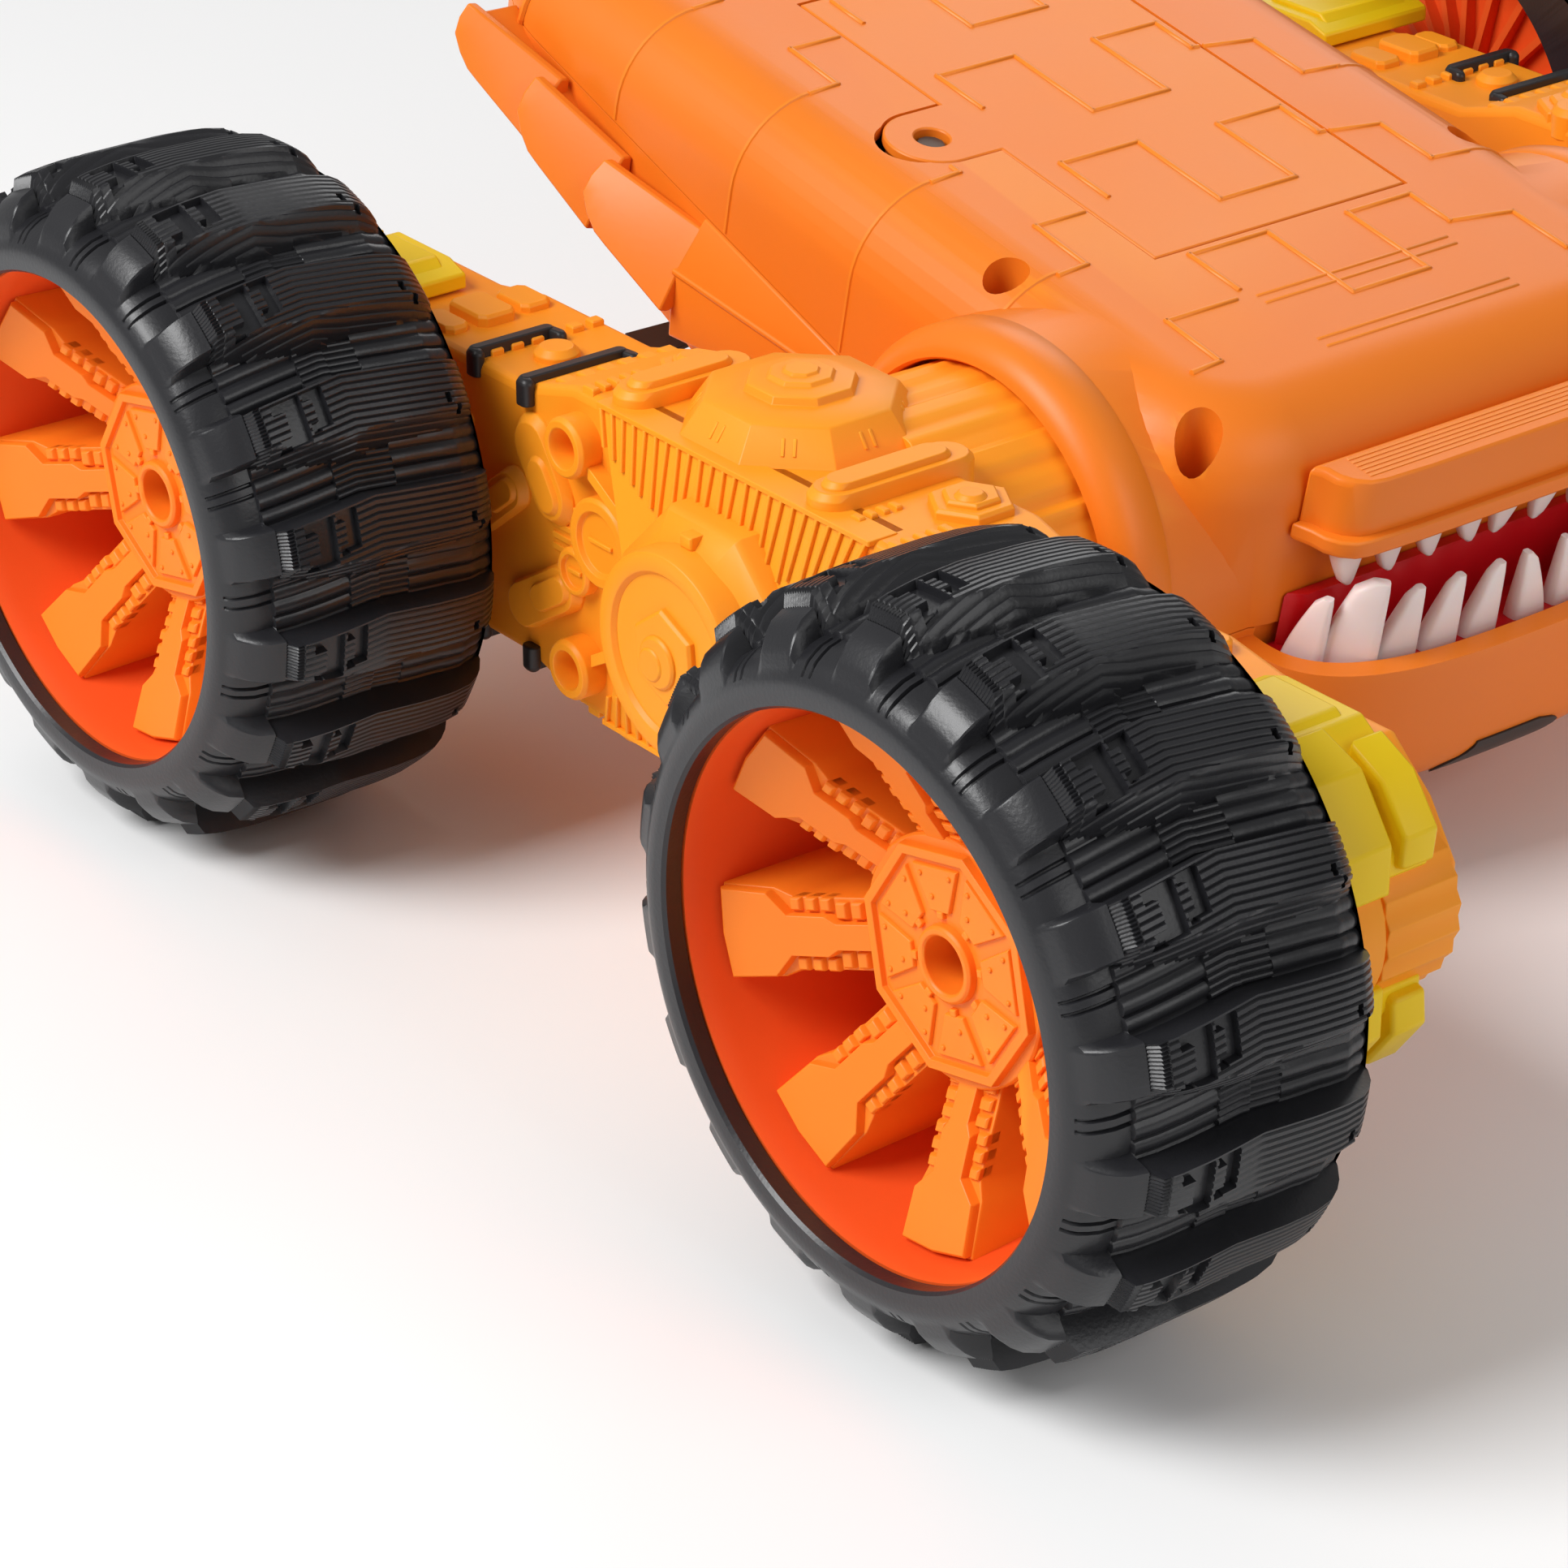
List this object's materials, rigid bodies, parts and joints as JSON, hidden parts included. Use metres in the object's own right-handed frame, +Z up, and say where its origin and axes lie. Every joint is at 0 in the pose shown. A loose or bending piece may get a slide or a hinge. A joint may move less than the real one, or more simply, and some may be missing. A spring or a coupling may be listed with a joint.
{
  "type": "rc stunt car",
  "caption": "Animal-faced stunt car lying belly up between two swinging side arms, each with a pair of big chunky wheels, jaws with teeth and a battery door.",
  "frame": {"origin": "on the ground plane, midway between the four wheels", "axes": "+Z up through the battery door side, -Y towards the jaws, +X across the car along the arm pivots and wheel axles"},
  "size_m": [0.386, 0.3481, 0.1328],
  "materials": {
    "body_orange": "satin orange moulded plastic",
    "arm_orange": "satin light orange moulded plastic",
    "rim_orange": "satin orange moulded plastic",
    "claw_yellow": "satin yellow moulded plastic",
    "tyre_black": "black blow-moulded tyre, satin",
    "stripe_black": "black moulded plastic",
    "tooth_white": "off-white moulded plastic",
    "gum_red": "red moulded plastic",
    "board_green": "green laminate with black parts",
    "cell_blue": "blue shrink sleeve over cells",
    "gear_white": "natural acetal",
    "steel": "plated steel"
  },
  "bodies": {
    "chassis": {"belly_shell": "body_orange", "back_shell": "body_orange", "right_collar": "body_orange", "left_collar": "body_orange", "lower_jaw": "body_orange", "lower_teeth": "tooth_white", "upper_teeth": "tooth_white", "upper_gum": "gum_red", "battery_box": "stripe_black", "battery_pack": "cell_blue", "circuit_board": "board_green", "antenna_wire": "stripe_black", "right_front_shell_screw": "steel", "right_middle_shell_screw": "steel", "left_front_shell_screw": "steel", "left_middle_shell_screw": "steel"},
    "battery_door": {"battery_door": "body_orange", "door_screw": "steel"},
    "power_switch": {"power_switch": "stripe_black"},
    "right_arm": {"right_arm_cover": "arm_orange", "right_arm_frame": "arm_orange", "right_pivot_clip": "steel", "right_front_claws": "claw_yellow", "right_front_stripes": "stripe_black", "right_front_motor": "steel", "right_rear_claws": "claw_yellow", "right_rear_stripes": "stripe_black", "right_rear_motor": "steel"},
    "right_front_wheel": {"right_front_tyre": "tyre_black", "right_front_rim": "rim_orange", "right_front_wheel_screw": "steel", "right_front_drive_gear": "gear_white"},
    "right_front_pinion": {"right_front_pinion": "gear_white"},
    "right_rear_wheel": {"right_rear_tyre": "tyre_black", "right_rear_rim": "rim_orange", "right_rear_wheel_screw": "steel", "right_rear_drive_gear": "gear_white"},
    "right_rear_pinion": {"right_rear_pinion": "gear_white"},
    "left_arm": {"left_arm_cover": "arm_orange", "left_arm_frame": "arm_orange", "left_pivot_clip": "steel", "left_front_claws": "claw_yellow", "left_front_stripes": "stripe_black", "left_front_motor": "steel", "left_rear_claws": "claw_yellow", "left_rear_stripes": "stripe_black", "left_rear_motor": "steel"},
    "left_front_wheel": {"left_front_tyre": "tyre_black", "left_front_rim": "rim_orange", "left_front_wheel_screw": "steel", "left_front_drive_gear": "gear_white"},
    "left_front_pinion": {"left_front_pinion": "gear_white"},
    "left_rear_wheel": {"left_rear_tyre": "tyre_black", "left_rear_rim": "rim_orange", "left_rear_wheel_screw": "steel", "left_rear_drive_gear": "gear_white"},
    "left_rear_pinion": {"left_rear_pinion": "gear_white"}
  },
  "joints": [
    {"name": "battery_door_hinge", "type": "hinge", "parent": "chassis", "child": "battery_door", "pos_m": [0.0305, 0.0561, 0.1143], "axis": [0, 0.981, 0.1942], "range_deg": [0, 75]},
    {"name": "power_switch_slide", "type": "slide", "parent": "chassis", "child": "power_switch", "axis": [1, 0, 0], "range_m": [0, 0.004]},
    {"name": "right_arm_pivot", "type": "hinge", "parent": "chassis", "child": "right_arm", "pos_m": [-0.1, 0, 0.0617], "axis": [1, 0, 0], "continuous": true},
    {"name": "right_front_wheel_spin", "type": "hinge", "parent": "right_arm", "child": "right_front_wheel", "pos_m": [-0.1665, -0.11, 0.0617], "axis": [1, 0, 0], "continuous": true},
    {"name": "right_front_pinion_spin", "type": "hinge", "parent": "right_arm", "child": "right_front_pinion", "pos_m": [-0.1305, -0.086, 0.0617], "axis": [1, 0, 0], "continuous": true},
    {"name": "right_rear_wheel_spin", "type": "hinge", "parent": "right_arm", "child": "right_rear_wheel", "pos_m": [-0.1665, 0.11, 0.0617], "axis": [1, 0, 0], "continuous": true},
    {"name": "right_rear_pinion_spin", "type": "hinge", "parent": "right_arm", "child": "right_rear_pinion", "pos_m": [-0.1305, 0.086, 0.0617], "axis": [1, 0, 0], "continuous": true},
    {"name": "left_arm_pivot", "type": "hinge", "parent": "chassis", "child": "left_arm", "pos_m": [0.1, 0, 0.0617], "axis": [1, 0, 0], "continuous": true},
    {"name": "left_front_wheel_spin", "type": "hinge", "parent": "left_arm", "child": "left_front_wheel", "pos_m": [0.1665, -0.11, 0.0617], "axis": [1, 0, 0], "continuous": true},
    {"name": "left_front_pinion_spin", "type": "hinge", "parent": "left_arm", "child": "left_front_pinion", "pos_m": [0.1305, -0.086, 0.0617], "axis": [1, 0, 0], "continuous": true},
    {"name": "left_rear_wheel_spin", "type": "hinge", "parent": "left_arm", "child": "left_rear_wheel", "pos_m": [0.1665, 0.11, 0.0617], "axis": [1, 0, 0], "continuous": true},
    {"name": "left_rear_pinion_spin", "type": "hinge", "parent": "left_arm", "child": "left_rear_pinion", "pos_m": [0.1305, 0.086, 0.0617], "axis": [1, 0, 0], "continuous": true}
  ],
  "couplings": [
    {"joint": "right_front_pinion_spin", "follows": "right_front_wheel_spin", "ratio": -4},
    {"joint": "right_rear_pinion_spin", "follows": "right_rear_wheel_spin", "ratio": -4},
    {"joint": "left_front_pinion_spin", "follows": "left_front_wheel_spin", "ratio": -4},
    {"joint": "left_rear_pinion_spin", "follows": "left_rear_wheel_spin", "ratio": -4}
  ]
}
